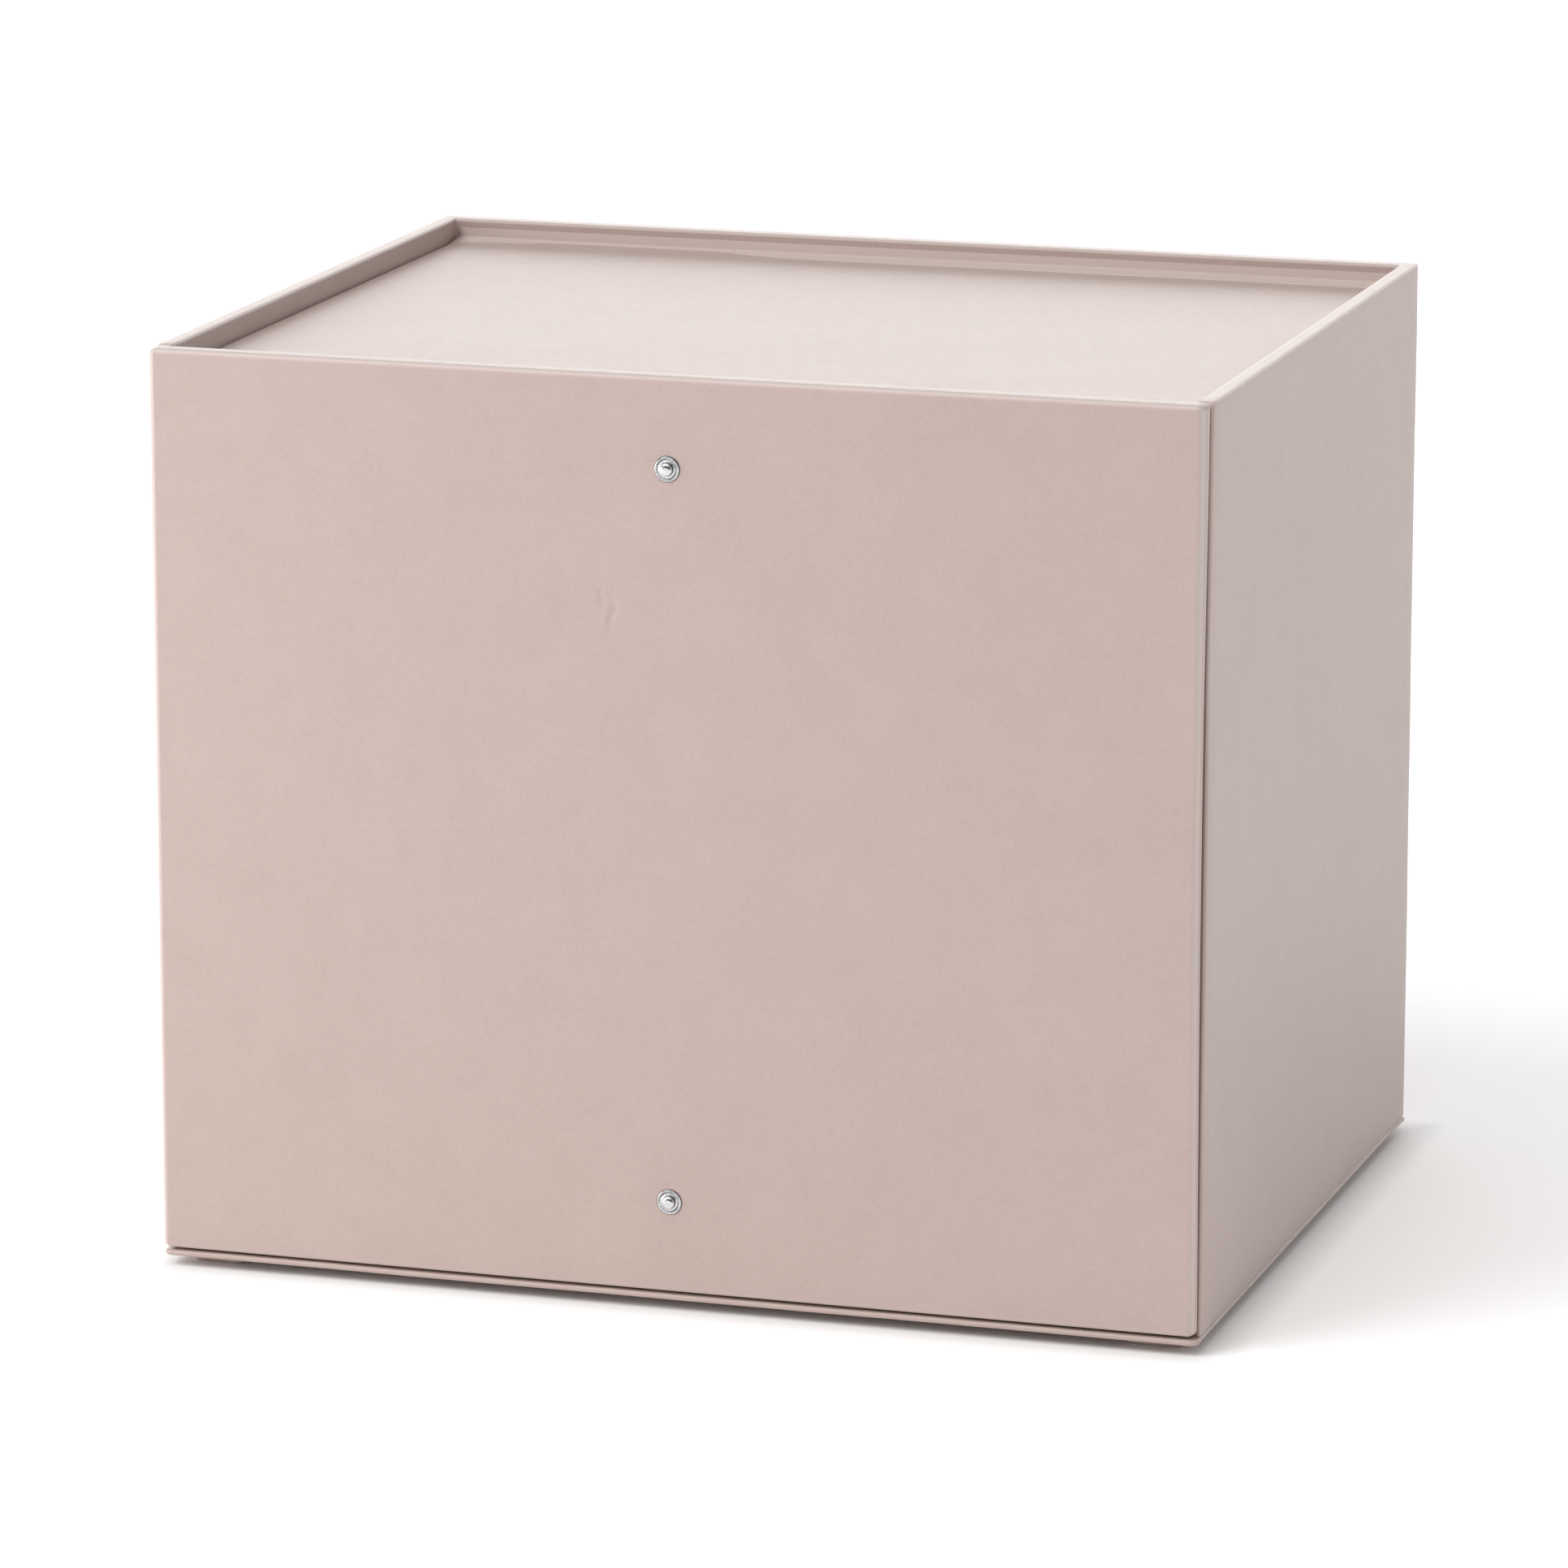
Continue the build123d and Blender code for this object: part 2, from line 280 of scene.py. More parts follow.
def coveredPanel(name, low, high, axis, corner, edge, spacing, window=None, shape=None, fine=((), ())):
    # Slab with rounded outline and rounded edges. window = (side, margin, depth) sinks a field for a lining.
    low, high = np.array(low), np.array(high)
    across = [k for k in range(3) if k != axis]
    size = high - low
    thick = size[axis]
    cuts = [(), ()]
    if window:
        margin = window[1]
        cuts = [
            (margin, margin + 0.1 * mm, size[k] - margin, size[k] - margin - 0.1 * mm) for k in across
        ]
    cuts = [tuple(cut) + tuple(v - low[k] for v in more) for k, cut, more in zip(across, cuts, fine)]
    lines = [meshLines(size[k], corner, edge, spacing, cut) for k, cut in zip(across, cuts)]
    a, b = np.meshgrid(*lines, indexing="ij")
    offA = np.where(a < corner, a - corner, np.where(a > size[across[0]] - corner, a - size[across[0]] + corner, 0))
    offB = np.where(b < corner, b - corner, np.where(b > size[across[1]] - corner, b - size[across[1]] + corner, 0))
    reach = np.maximum(abs(offA), abs(offB))
    cornerReach = np.hypot(offA, offB)
    pull = np.where(cornerReach > 0, reach / np.maximum(cornerReach, 1e-12), 1)
    a, b = a - offA + offA * pull, b - offB + offB * pull
    inset = corner - reach
    drop = np.where(inset < edge, edge - np.sqrt(np.maximum(edge**2 - (edge - inset) ** 2, 0)), 0)
    fronts, backs = drop.copy(), thick - drop
    if window:
        side, margin, depth = window
        field = (a > margin) & (a < size[across[0]] - margin) & (b > margin) & (b < size[across[1]] - margin)
        if side == "back":
            backs -= depth * field
        else:
            fronts += depth * field
    na, nb = a.shape
    grid = np.arange(na * nb).reshape(na, nb)
    loop = np.concatenate([grid[:-1, 0], grid[-1, :-1], grid[:0:-1, -1], grid[0, :0:-1]])
    flatA, flatB = a.ravel(), b.ravel()
    rows = max(1, round((thick - 2 * edge) / (1.2 * mm)))
    parts = [np.c_[flatA, flatB, fronts.ravel()], np.c_[flatA, flatB, backs.ravel()]]
    for k in range(1, rows):
        c = edge + (thick - 2 * edge) * k / rows
        parts.append(np.c_[flatA[loop], flatB[loop], np.full(len(loop), c)])
    local = np.concatenate(parts)
    points = np.zeros_like(local)
    points[:, across[0]], points[:, across[1]], points[:, axis] = local[:, 0], local[:, 1], local[:, 2]
    points += low
    faces = []
    for offset in (0, na * nb):
        g = grid + offset
        quads = np.stack([g[:-1, :-1], g[1:, :-1], g[1:, 1:], g[:-1, 1:]], -1).reshape(-1, 4)
        faces += quads.tolist()
    rings = [loop] + [2 * na * nb + np.arange(len(loop)) + k * len(loop) for k in range(rows - 1)]
    rings.append(loop + na * nb)
    for one, two in zip(rings, rings[1:]):
        quads = np.stack([one, np.roll(one, -1), np.roll(two, -1), two], -1)
        faces += quads.tolist()
    # painted highlight: points near the rounded edges, and the slab's sides, get the lighter edge colour
    edgeness = smooth(1 - inset.ravel() / (edge * 1.2))
    rub = np.concatenate([edgeness, edgeness] + [np.full(len(loop), 0.25)] * (rows - 1))
    if shape is not None:
        points = shape(points)
    return meshFrom(name, points, faces, rub)


def finishPiece(piece, body, slotName, *nodes):
    piece.data.materials.append(finishes[slotName])
    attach(piece, body)
    if nodes:
        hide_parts(*nodes)


finishes = {
    "covering": makeCovering(),
    "lining": makePaper("liningPaper", liningSettings, 1400, 0.03 * mm),
    "greyboard": makePaper("greyBoard", boardSettings, 900, 0.08 * mm),
    "stud_plating": makePlating("brightPlating", platingSettings),
    "socket_plating": makePlating("plainNickel", nickelSettings),
}
finishes["foot_covering"] = finishes["covering"]
for entry in frame["record"]["subparts"]:
    node = frame["nodes"][entry["node"]]
    node.data.materials.clear()
    node.data.materials.append(finishes[entry["material_slot"]])
print("finishes made")


# Door
doorSettings = {
    "corner": 2.4 * mm,
    "edge": 2.0 * mm,
    "spacing": 5 * mm,
    "swell": 0.25 * mm,  # unevenness of the face
    "bow": 0.5 * mm,  # free edge drawn in, half way down
    "slant": 1.1 * mm,  # free edge leans back from the face
    "taper": 6 * mm,  # width of the thinned free edge
    # small creases pressed into the face: across, height, length, tilt in degrees, depth
    "creases": (
        (-20 * mm, 247 * mm, 10 * mm, 88, 0.24 * mm),
        (-24 * mm, 254 * mm, 6 * mm, 120, 0.14 * mm),
        (-15 * mm, 252 * mm, 5 * mm, 50, 0.12 * mm),
    ),
    "creaseWidth": 1.3 * mm,
    "thinning": (0.0, 0.52, 0.64),  # share of the edge's thickness lost at the top, middle and bottom
}
doorLow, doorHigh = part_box("door_cover")
wallLow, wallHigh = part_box("body_cover")


def downDoor(z):
    # 0 at the door's top, 1 at its bottom.
    return (doorHigh.z - z) / (doorHigh.z - doorLow.z)


def downEdge(values, z):
    # Runs from the first value at the door's top through the second to the third at its bottom.
    top, middle, bottom = values
    t = downDoor(z)
    return top + (middle - top) * smooth(t / 0.38) + (bottom - middle) * smooth((t - 0.3) / 0.7)


def shapeDoor(points):
    s = doorSettings
    p = points.copy()
    x, y, z = p.T
    toEdge = smooth((x - doorHigh.x + s["taper"]) / s["taper"])
    depth = y - doorLow.y
    fixed = s["edge"]
    thinning = downEdge(s["thinning"], z)
    p[:, 1] = np.where(depth > fixed, doorLow.y + fixed + (depth - fixed) * (1 - thinning * toEdge), y)
    t = downDoor(z)
    p[:, 0] -= s["bow"] * toEdge * np.sin(np.pi * smooth(t / 1.15))
    p[:, 0] -= s["slant"] * toEdge * np.clip(1 - depth / (doorHigh.y - doorLow.y), 0, 1) ** 1.5
    inFace = smooth(np.minimum.reduce([x - doorLow.x, doorHigh.x - x, z - doorLow.z, doorHigh.z - z]) / calmMargin)
    onFace = depth < 1 * mm
    p[:, 1] -= s["swell"] * ripple(x, z, 1.7) * inFace * onFace
    for across, height, length, tilt, deep in s["creases"]:
        c, d = math.cos(math.radians(tilt)), math.sin(math.radians(tilt))
        u, v = (x - across) * c + (z - height) * d, (z - height) * c - (x - across) * d
        v = v + 0.8 * mm * np.sin(u / (2.2 * mm))
        fall = np.exp(-((u / length * 2) ** 2))
        v = v / s["creaseWidth"]
        p[:, 1] += deep * fall * (np.exp(-(v**2)) - 0.5 * np.exp(-((v - 1.6) ** 2))) * onFace
    return p


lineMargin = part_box("door_lining")[0].x - doorLow.x
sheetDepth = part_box("door_lining")[1].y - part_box("door_lining")[0].y
doorPanel = coveredPanel(
    "doorCovering", doorLow, doorHigh, 1, doorSettings["corner"], doorSettings["edge"],
    doorSettings["spacing"], ("back", lineMargin, sheetDepth * 1.1), shapeDoor,
    (np.arange(-29, -10, 0.6) * mm, np.arange(238, 260, 0.7) * mm),
)
finishPiece(doorPanel, "door", "covering", "door_cover")
boardLow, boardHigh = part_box("door_board")
boardCut = Vector((doorSettings["taper"], 0, 0))
doorBoard = coveredPanel(
    "doorBoard", boardLow + Vector((0, 0.3 * mm, 0)), boardHigh - boardCut - Vector((0, 0.3 * mm, 0)), 1,
    1.2 * mm, 0.4 * mm, 20 * mm,
)
finishPiece(doorBoard, "door", "greyboard", "door_board")
print("door made")


# Walls
wallSettings = {
    "edge": 1.3 * mm,
    "outerCorner": 2.6 * mm,
    "innerCorner": 1.0 * mm,
    "spacing": 7 * mm,
    "swell": 0.22 * mm,
    "lean": 14 * mm,  # length of wall that leans to the door at its free side
    "leanReach": (1.0 * mm, 3.6 * mm, 4.6 * mm),  # how far forward, at the top, middle and bottom
}


def wallPlan():
    # Matching outer and inner points round the three walls, seen from above, with end insets.
    s = wallSettings
    half = wallHigh.x
    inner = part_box("left_lid_ledge")[0].x * -1
    front, rear = wallLow.y, wallHigh.y
    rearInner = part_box("rear_lid_ledge")[1].y
    big, small, edge = s["outerCorner"], s["innerCorner"], s["edge"]
    steps = 5
    near = [edge * (1 - math.cos(k * math.pi / 2 / steps)) for k in range(steps + 1)]
    sideOut, sideIn = rear - big - front, rearInner - small - front
    count = round(sideOut / s["spacing"])
    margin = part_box("left_wall_lining")[0].y - front
    along = near + [edge + (sideOut - edge) * k / count for k in range(1, count + 1)]
    along = sorted(along + [margin - 0.1 * mm, margin])
    side = []
    for v in along:
        inset = edge - math.sqrt(max(edge**2 - max(edge - v, 0) ** 2, 0))
        w = v if v < 25 * mm else 25 * mm + (v - 25 * mm) * (sideIn - 25 * mm) / (sideOut - 25 * mm)
        side.append(((half, front + v), (inner, front + w), inset, v > margin - 0.05 * mm))
    turn = []
    for k in range(1, 7):
        angle = math.pi / 2 * k / 7
        outer = (half - big + big * math.cos(angle), rear - big + big * math.sin(angle))
        within = (inner - small + small * math.cos(angle), rearInner - small + small * math.sin(angle))
        turn.append((outer, within, 0, True))
    halfCount = round((half - big) / s["spacing"])
    back = []
    for k in range(halfCount + 1):
        share = 1 - k / halfCount
        back.append((((half - big) * share, rear), ((inner - small) * share, rearInner), 0, True))
    rightHalf = side + turn + back
    leftHalf = [((-o[0], o[1]), (-i[0], i[1]), e, lined) for o, i, e, lined in reversed(rightHalf[:-1])]
    return rightHalf + leftHalf


def makeWalls():
    s = wallSettings
    edge = s["edge"]
    bottom, top = wallLow.z, wallHigh.z
    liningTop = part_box("rear_wall_lining")[1].z
    skin = sheetDepth * 1.1
    foot = 0.5 * mm
    rows = round((top - bottom - edge) / s["spacing"])
    rise = [bottom + foot + (top - edge - bottom - foot) * k / rows for k in range(rows + 1)]
    points, rub = [], []
    plan = wallPlan()
    for outer, inner, inset, lined in plan:
        o, i = Vector(outer), Vector(inner)
        across = i - o
        thick = across.length
        unit = across / thick
        low, high = inset, thick - inset
        crown = top - inset
        profile = [(low + foot * 0.8, bottom, 0.3), (low, rise[0], 0.3)]
        profile += [(low, z, 0.0) for z in rise[1:-1]]
        arc = [k * math.pi / 2 / 5 for k in range(6)]
        room = min(edge, (high - low) / 2 * 0.98)
        profile += [(low + room * (1 - math.cos(v)), crown - edge + edge * math.sin(v), math.sin(v)) for v in arc]
        profile += [(low + room + (high - low - 2 * room) * k / 3, crown, 0.7) for k in (1, 2)]
        profile += [
            (high - room * (1 - math.cos(v)), crown - edge + edge * math.sin(v), math.sin(v)) for v in arc[::-1]
        ]
        profile += [(high, crown - edge - (crown - edge - liningTop) * k / 3, 0) for k in (1, 2, 3)]
        back = skin if lined else 0
        profile += [(high - back, liningTop - 0.1 * mm, 0), (high - back, bottom, 0)]
        # mark: painted highlight on the rounded edges and the rim's top, and a little at the foot
        for w, z, mark in profile:
            q = o + unit * w
            points.append((q.x, q.y, min(z, crown)))
            rub.append(mark * 0.8)
    n = len(profile)
    faces = ringFaces(len(plan), n)
    faces.append(tuple(range(n)))
    faces.append(tuple((len(plan) - 1) * n + k for k in range(n)))
    return meshFrom("wallCovering", shapeWalls(np.array(points)), faces, rub)


def shapeWalls(points):
    s = wallSettings
    p = points.copy()
    x, y, z = p.T
    reach = downEdge(s["leanReach"], z)
    toFront = 1 - smooth((y - wallLow.y) / s["lean"])
    outward = smooth((x - wallHigh.x + doorSettings["taper"]) / doorSettings["taper"])
    p[:, 1] -= reach * toFront * outward
    side = smooth((abs(x) - wallHigh.x + 1 * mm) / (1 * mm)) * np.sign(x)
    calm = smooth(np.minimum(z - wallLow.z, wallHigh.z - z) / calmMargin)
    p[:, 0] += side * s["swell"] * ripple(y, z, np.where(x > 0, 4.2, 7.9)) * calm
    rear = smooth((y - wallHigh.y + 1 * mm) / (1 * mm))
    p[:, 1] += rear * s["swell"] * ripple(x, z, 5.5) * calm
    return p


finishPiece(makeWalls(), "carcass", "covering", "body_cover")
print("walls made")


# Lid
lidSettings = {
    "corner": 1.8 * mm,
    "edge": 1.1 * mm,
    "spacing": 5 * mm,
    "swell": 0.22 * mm,
    "curl": 0.8 * mm,  # rise of the hinged edge
    "curlWidth": 12 * mm,
}
lidLow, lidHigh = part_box("lid_cover")


def shapeLid(points):
    s = lidSettings
    p = points.copy()
    x, y = p.T[:2]
    rise = smooth((y - lidHigh.y + s["curlWidth"]) / s["curlWidth"])
    p[:, 2] += s["curl"] * rise
    inFace = smooth(np.minimum.reduce([x - lidLow.x, lidHigh.x - x, y - lidLow.y]) / calmMargin)
    p[:, 2] += s["swell"] * ripple(x, y, 3.3) * inFace * (1 - rise)
    return p


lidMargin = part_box("lid_lining")[0].x - lidLow.x
lid = coveredPanel(
    "lidCovering", lidLow, lidHigh, 2, lidSettings["corner"], lidSettings["edge"],
    lidSettings["spacing"], ("front", lidMargin, sheetDepth * 1.1), shapeLid,
)
finishPiece(lid, "lid", "covering", "lid_cover")
boardLow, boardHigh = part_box("lid_board")
shrink = Vector((0, 0, 0.25 * mm))
lidBoard = coveredPanel(
    "lidBoard", boardLow + shrink, boardHigh - shrink, 2, 1.2 * mm, 0.3 * mm, 12 * mm, None, shapeLid
)
finishPiece(lidBoard, "lid", "greyboard", "lid_board")
print("lid made")


# Base
baseSettings = {"corner": 3.0 * mm, "edge": 0.95 * mm, "spacing": 8 * mm, "flare": 0.4 * mm, "flareLength": 9 * mm}
baseLow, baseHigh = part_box("base_cover")


def shapeBase(points):
    s = baseSettings
    p = points.copy()
    x, y = p.T[:2]
    left = smooth((baseLow.x - x + s["flareLength"]) / s["flareLength"])
    right = smooth((x - baseHigh.x + s["flareLength"]) / s["flareLength"])
    front = smooth((baseLow.y - y + s["flareLength"]) / s["flareLength"])
    rear = smooth((y - baseHigh.y + s["flareLength"]) / s["flareLength"])
    p[:, 0] += s["flare"] * (right * rear * 1.4 + left * front + right * front * 0.5)
    p[:, 1] += s["flare"] * (right * rear * 0.6 - right * front * 0.3)
    outline = 1 - smooth(np.minimum.reduce([x - baseLow.x, baseHigh.x - x, y - baseLow.y, baseHigh.y - y]) / (6 * mm))
    p[:, 2] -= 0.25 * mm * outline * (1 + ripple(x * 2, y * 2, 2.5)) / 2
    return p


base = coveredPanel(
    "baseCovering", baseLow, baseHigh, 2, baseSettings["corner"], baseSettings["edge"],
    baseSettings["spacing"], None, shapeBase,
)
base.data.attributes["rub"].data.foreach_set("value", [0.0] * len(base.data.vertices))
finishPiece(base, "carcass", "covering", "base_cover")
boardLow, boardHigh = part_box("base_board")
boardInset = Vector((1.2 * mm, 1.2 * mm, 0))
baseBoard = coveredPanel("baseBoard", boardLow + boardInset, boardHigh - boardInset, 2, 3 * mm, 0.3 * mm, 30 * mm)
finishPiece(baseBoard, "carcass", "greyboard", "base_board")
print("base made")


# Rails and ledges
stripSettings = {"corner": 1.0 * mm, "edge": 0.6 * mm, "spacing": 9 * mm}
for node, axis in (
    ("upper_front_rail", 1), ("lower_front_rail", 1),
    ("left_lid_ledge", 0), ("right_lid_ledge", 0), ("rear_lid_ledge", 1),
):
    low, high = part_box(node)
    words = node.split("_")
    strip = coveredPanel(
        words[0] + "".join(w.capitalize() for w in words[1:]), low, high, axis,
        stripSettings["corner"], stripSettings["edge"], stripSettings["spacing"],
    )
    finishPiece(strip, "carcass", "covering", node)
print("rails and ledges made")


# Hinges in the covering
hingeSettings = {
    "thick": 0.4 * mm,
    "doorLap": 3.2 * mm,
    "wallLap": 5 * mm,
    "groove": 1.5 * mm,
    "proud": 0.12 * mm,
    "wave": 0.3 * mm,  # unevenness of the lid's fold
    "worn": 0.9,  # how much of the lid's fold is painted lighter, to lift the shade of the fold
}


def ribbon(name, path, thick, run, low, high, steps, rub=0.0):
    # Thin strip: a line of (u, v) points with thickness, drawn out along one axis.
    path = np.array(path)
    fine = []
    for k in range(len(path) - 1):
        before, after = path[max(k - 1, 0)], path[min(k + 2, len(path) - 1)]
        for j in range(5):
            t = j / 5
            one, two = path[k], path[k + 1]
            fine.append(0.5 * (2 * one + (two - before) * t + (2 * before - 5 * one + 4 * two - after) * t * t
                               + (3 * one - before - 3 * two + after) * t**3))
    fine.append(path[-1])
    fine = np.array(fine)
    along = np.gradient(fine, axis=0)
    along /= np.linalg.norm(along, axis=1)[:, None]
    side = np.c_[-along[:, 1], along[:, 0]] * thick
    ring = np.concatenate([fine, (fine + side)[::-1]])
    n = len(ring)
    points = []
    others = [k for k in range(3) if k != run]
    for place in np.linspace(low, high, steps):
        block = np.zeros((n, 3))
        block[:, others[0]], block[:, others[1]], block[:, run] = ring[:, 0], ring[:, 1], place
        points.append(block)
    faces = ringFaces(steps, n)
    faces.append(tuple(range(n)))
    faces.append(tuple((steps - 1) * n + k for k in range(n)))
    return meshFrom(name, np.concatenate(points), faces, [rub] * (n * steps))


def finishHinge(hinge, node):
    hinge.data.materials.append(finishes["covering"])
    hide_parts(node)
    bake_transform(hinge)


def makeDoorHinge():
    s = hingeSettings
    left, back, front = doorLow.x, doorHigh.y, wallLow.y
    wall = wallLow.x
    out = s["proud"] + s["thick"]
    path = [
        (left - out, back - s["doorLap"]),
        (left - out, back - 1.2 * mm),
        (left - out + 0.5 * mm, back - 0.2 * mm),
        (left + s["groove"] - out, (back + front) / 2),
        (wall - out + 0.5 * mm, front + 0.2 * mm),
        (wall - out, front + 1.3 * mm),
        (wall - out, front + s["wallLap"]),
    ]
    path = [(u + s["thick"], v) for u, v in path]
    hinge = ribbon("doorHingeStrip", path, s["thick"], 2, doorLow.z + 2 * mm, doorHigh.z - 2 * mm, 60)
    finishHinge(hinge, "door_hinge_cloth")


def makeLidHinge():
    s = hingeSettings
    top = lidHigh.z + lidSettings["curl"]
    edge, wall = lidHigh.y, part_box("rear_lid_ledge")[1].y
    rim = wallHigh.z
    path = [
        (edge - 6 * mm, top - 0.78 * mm),
        (edge - 3.4 * mm, top - 0.47 * mm),
        (edge - 1.2 * mm, top - 0.26 * mm),
        (edge + 0.3 * mm, top - 0.05 * mm),
        (wall - 0.50 * mm, top + 0.14 * mm),
        (wall - 0.10 * mm, top + 0.34 * mm),
        (wall + 0.14 * mm, top + 0.8 * mm),
        (wall + 0.24 * mm, top + 2.4 * mm),
        (wall + 0.52 * mm, rim - 2.0 * mm),
    ]
    # the whole lid fold gets the painted highlight colour, lifting the shade of the fold
    hinge = ribbon("lidHingeStrip", path, s["thick"], 0, lidLow.x + 0.4 * mm, lidHigh.x - 0.4 * mm, 110, s["worn"])
    for point in hinge.data.vertices:
        fold = math.exp(-(((point.co.z - top - 0.6 * mm) / (1.4 * mm)) ** 2))
        point.co.z += s["wave"] * fold * float(ripple(point.co.x * 0.8, 0.0, 6.1))
    finishHinge(hinge, "lid_hinge_cloth")


makeDoorHinge()
makeLidHinge()
print("hinges made")


# Press studs
studSettings = {
    "turns": 216,
    "flutes": 36,
    "fluteDepth": 0.16 * mm,
    "fluteBand": (2.95 * mm, 4.0 * mm),
    # radius and height above the door's face, millimetres, from the flange's rim in to the ball's crown
    "outline": (
        (4.42, -0.30), (4.60, -0.05), (4.62, 0.18), (4.52, 0.40), (4.30, 0.54), (4.06, 0.56), (3.86, 0.48),
        (3.50, 0.44), (3.14, 0.46), (2.94, 0.54), (2.72, 0.66), (2.48, 0.68), (2.28, 0.58), (2.14, 0.52),
        (2.06, 0.66), (2.10, 0.86), (2.24, 1.12), (2.30, 1.40), (2.25, 1.68), (2.08, 1.94), (1.78, 2.16),
        (1.36, 2.31), (0.86, 2.38), (0.40, 2.40), (0.0, 2.40),
    ),
}


def makeStud(name, node):
    s = studSettings
    low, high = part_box(node)
    centre = Vector(((low.x + high.x) / 2, doorLow.y, (low.z + high.z) / 2))
    outline = np.array(s["outline"]) * mm
    fine = [outline[0]]
    for one, two in zip(outline, outline[1:]):
        fine += [one + (two - one) * k / 3 for k in (1, 2, 3)]
    fine = np.array(fine)
    for _ in range(3):
        fine[1:-1] = (fine[:-2] + 2 * fine[1:-1] + fine[2:]) / 4
    inner, outer = s["fluteBand"]
    points, paintedStudShade = [], []
    for radius, height in fine[:-1]:
        band = max(0.0, math.sin(math.pi * min(max((radius - inner) / (outer - inner), 0), 1))) ** 0.5
        band *= height > 0.2 * mm
        neck = math.exp(-(((radius - 2.15 * mm) / (0.2 * mm)) ** 2)) * (height < 1.1 * mm)
        skirt = float(smooth((radius - 4.15 * mm) / (0.3 * mm)))
        for k in range(s["turns"]):
            angle = 2 * math.pi * k / s["turns"]
            wave = math.cos(s["flutes"] * angle)
            h = height + s["fluteDepth"] * band * (wave - 0.4)
            points.append((centre.x + radius * math.cos(angle), centre.y - h, centre.z + radius * math.sin(angle)))
            # painted shade: near-black in the flute grooves, the crevice under the ball and round the flange's rim
            paintedStudShade.append(max(0.85 * band * (0.5 - 0.5 * wave), 0.8 * neck, 0.85 * skirt))
    rows, turns = len(fine) - 1, s["turns"]
    points.append((centre.x, centre.y - fine[-1][1], centre.z))
    paintedStudShade.append(0.0)
    faces = ringFaces(rows, turns)
    tip = rows * turns
    faces += [((rows - 1) * turns + k, (rows - 1) * turns + (k + 1) % turns, tip) for k in range(turns)]
    faces.append(tuple(range(turns)))
    return meshFrom(name, points, faces, paintedStudShade)


for place in ("upper", "lower"):
    node = f"{place}_outer_stud"
    finishPiece(makeStud(place + "OuterStud", node), "door", "stud_plating", node)
print("press studs made")


# Floor and light
stageSettings = {
    "floor": (0.94, 0.94, 0.94),
    "floorGlow": 0.22,  # lifts the shadow to a light grey
    "glowEdge": 15 * mm,  # no glow under the box, full glow this far outside it
    "world": 0.49,
    "dimSide": (0.27, -0.94, 0.20),  # the room is darker on the viewer's side
    "dimmed": 0.25,
    "sun": {"towards": (0.74, 0.67, -0.95), "angle": 32, "strength": 1.0},
    "key": {"place": (-1.1, -0.8, 0.2), "aim": (0, -0.15, 0.1), "size": (0.8, 0.8), "power": 8.8},
    "top": {"place": (-0.4, -1.7, 2.7), "aim": (0, -0.1, 0.1), "size": (3, 2.6), "power": 33},
    "fill": {"place": (2.2, 0.4, 0.6), "aim": (0.4, 0, 0.1), "size": (2, 1.6), "power": 5},
    "back": {"place": (-1.3, 4.2, 1.3), "aim": (-1.3, 0, 1.3), "size": (6, 2.4), "power": 94},
}


def addLamp(name, place, aim, size, power):
    data = bpy.data.lights.new(name, "AREA")
    data.shape = "RECTANGLE"
    data.size, data.size_y = size
    data.energy = power
    lamp = bpy.data.objects.new(name, data)
    lamp.location = place
    lamp.rotation_mode = "QUATERNION"
    lamp.rotation_quaternion = (Vector(aim) - Vector(place)).to_track_quat("-Z", "Y")
    bpy.context.collection.objects.link(lamp)


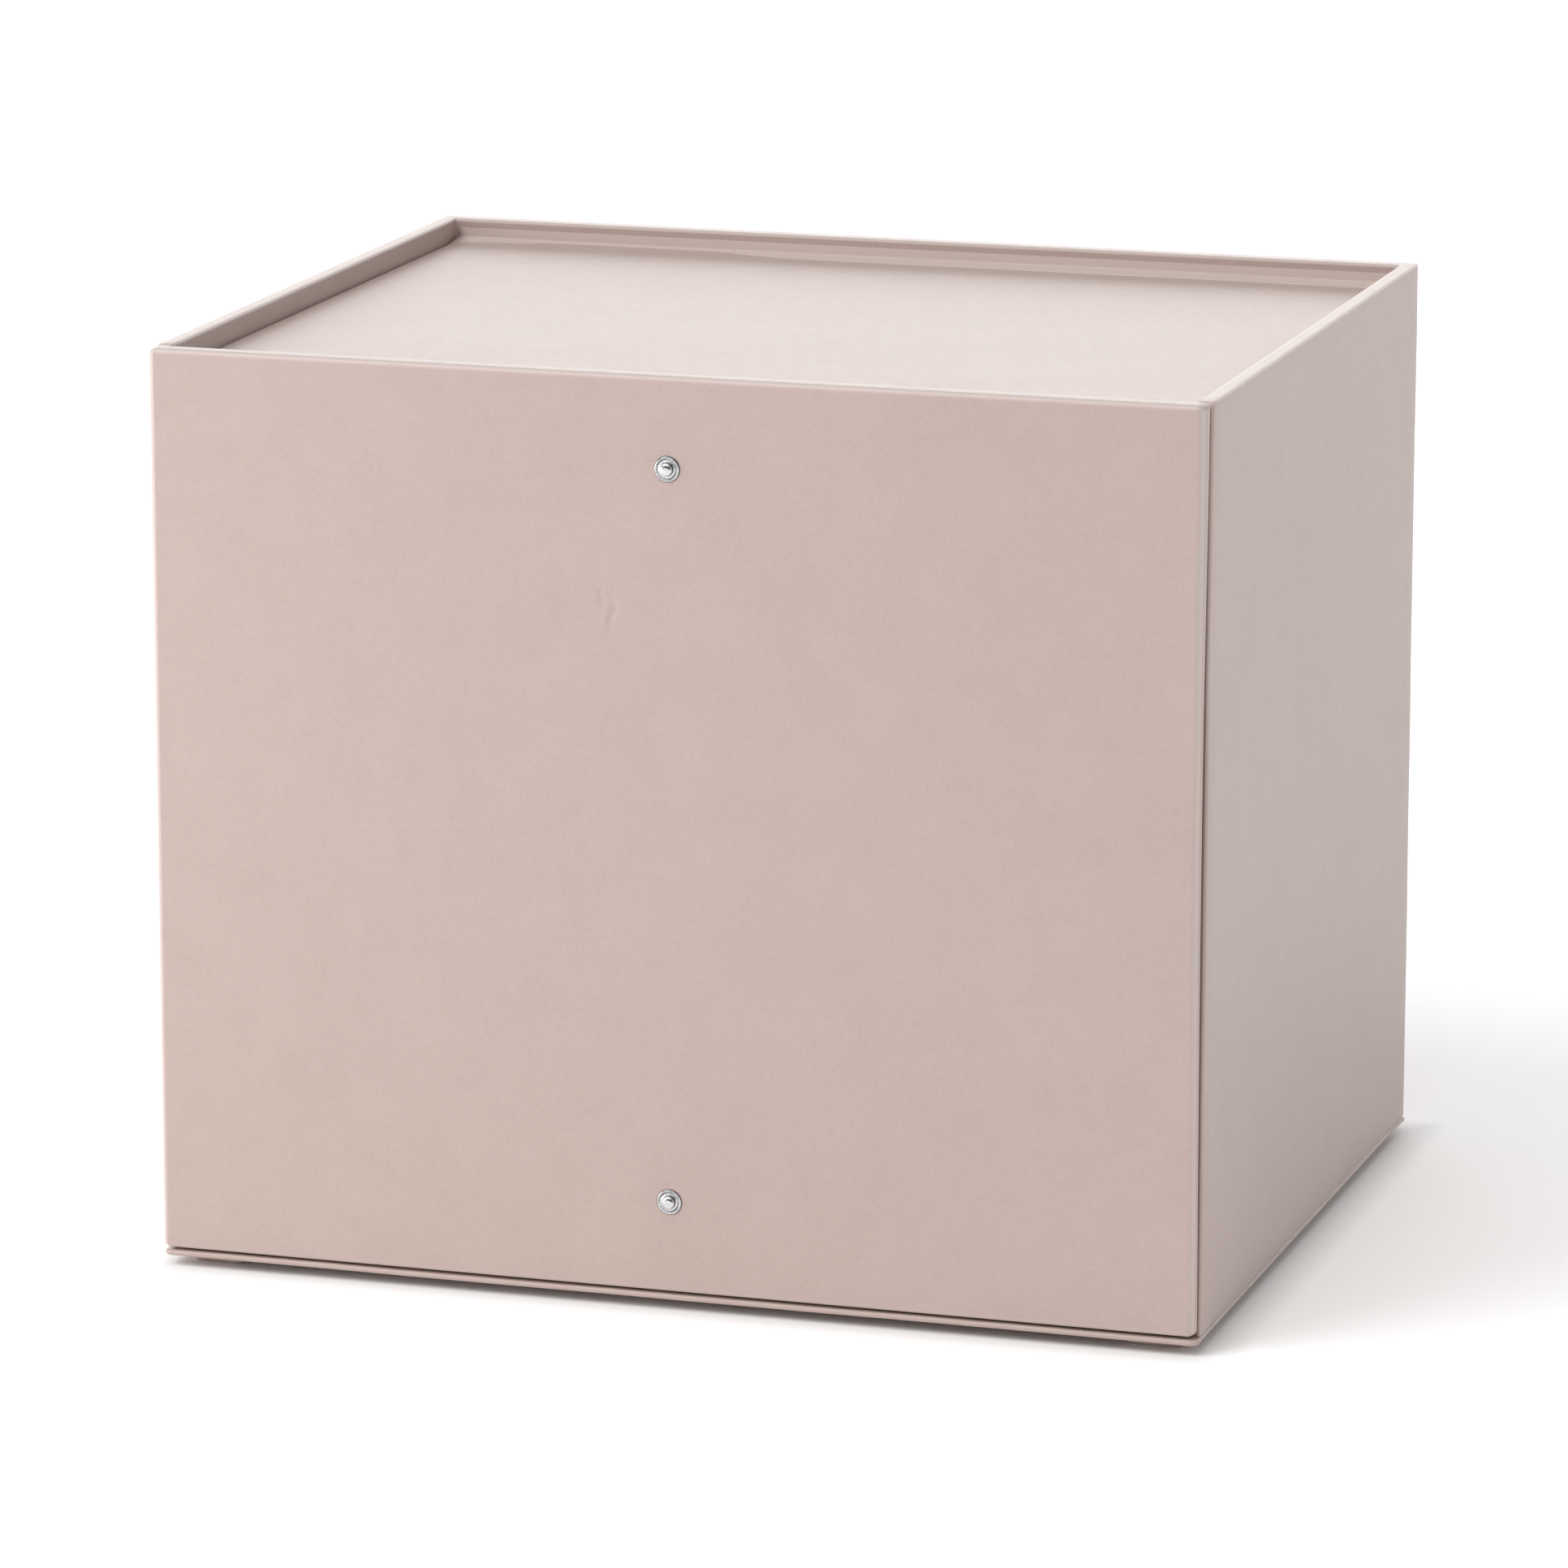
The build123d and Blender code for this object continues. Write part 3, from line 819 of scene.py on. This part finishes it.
def addSun(towards, angle, strength):
    data = bpy.data.lights.new("sun", "SUN")
    data.energy = strength
    data.angle = math.radians(angle)
    sun = bpy.data.objects.new("sun", data)
    sun.rotation_mode = "QUATERNION"
    sun.rotation_quaternion = Vector(towards).to_track_quat("-Z", "Y")
    bpy.context.collection.objects.link(sun)


def makeStage():
    s = stageSettings
    mesh = bpy.data.meshes.new("floor")
    half = 14
    mesh.from_pydata([(-half, -half, 0), (half, -half, 0), (half, half, 0), (-half, half, 0)], [], [(0, 1, 2, 3)])
    floor = bpy.data.objects.new("floor", mesh)
    bpy.context.collection.objects.link(floor)
    finish, nodes, links, shader, place = newFinish("paleFloor")
    shader.inputs["Base Color"].default_value = (*s["floor"], 1)
    shader.inputs["Roughness"].default_value = 0.8
    shader.inputs["Specular IOR Level"].default_value = 0.1
    shader.inputs["Emission Color"].default_value = (1, 1, 1, 1)
    parts = nodes.new("ShaderNodeSeparateXYZ")
    links.new(place, parts.inputs[0])
    outside = [
        addMath(nodes, links, "SUBTRACT", addMath(nodes, links, "ABSOLUTE", parts.outputs[k]), wall)
        for k, wall in ((0, wallHigh.x), (1, wallHigh.y))
    ]
    distance = addMath(nodes, links, "MAXIMUM", outside[0], outside[1])
    glow = addRange(nodes, links, distance, 0, s["floorGlow"], 0, s["glowEdge"])
    links.new(glow, shader.inputs["Emission Strength"])
    mesh.materials.append(finish)
    world = bpy.data.worlds.new("softWhite")
    world.use_nodes = True
    nodes, links = world.node_tree.nodes, world.node_tree.links
    nodes["Background"].inputs["Color"].default_value = (1, 1, 1, 1)
    direction = nodes.new("ShaderNodeTexCoord").outputs["Generated"]
    facing = nodes.new("ShaderNodeVectorMath")
    facing.operation = "DOT_PRODUCT"
    facing.inputs[1].default_value = Vector(s["dimSide"]).normalized()
    links.new(direction, facing.inputs[0])
    level = addRange(nodes, links, facing.outputs["Value"], s["world"], s["world"] * s["dimmed"], 0.74, 0.92)
    links.new(level, nodes["Background"].inputs["Strength"])
    bpy.context.scene.world = world
    addLamp("keyLight", **s["key"])
    addLamp("topLight", **s["top"])
    addLamp("backLight", **s["back"])
    addLamp("fillLight", **s["fill"])
    addSun(**s["sun"])
    bpy.context.scene.view_settings.view_transform = "Standard"


makeStage()
makeCamera()
print("stage made")
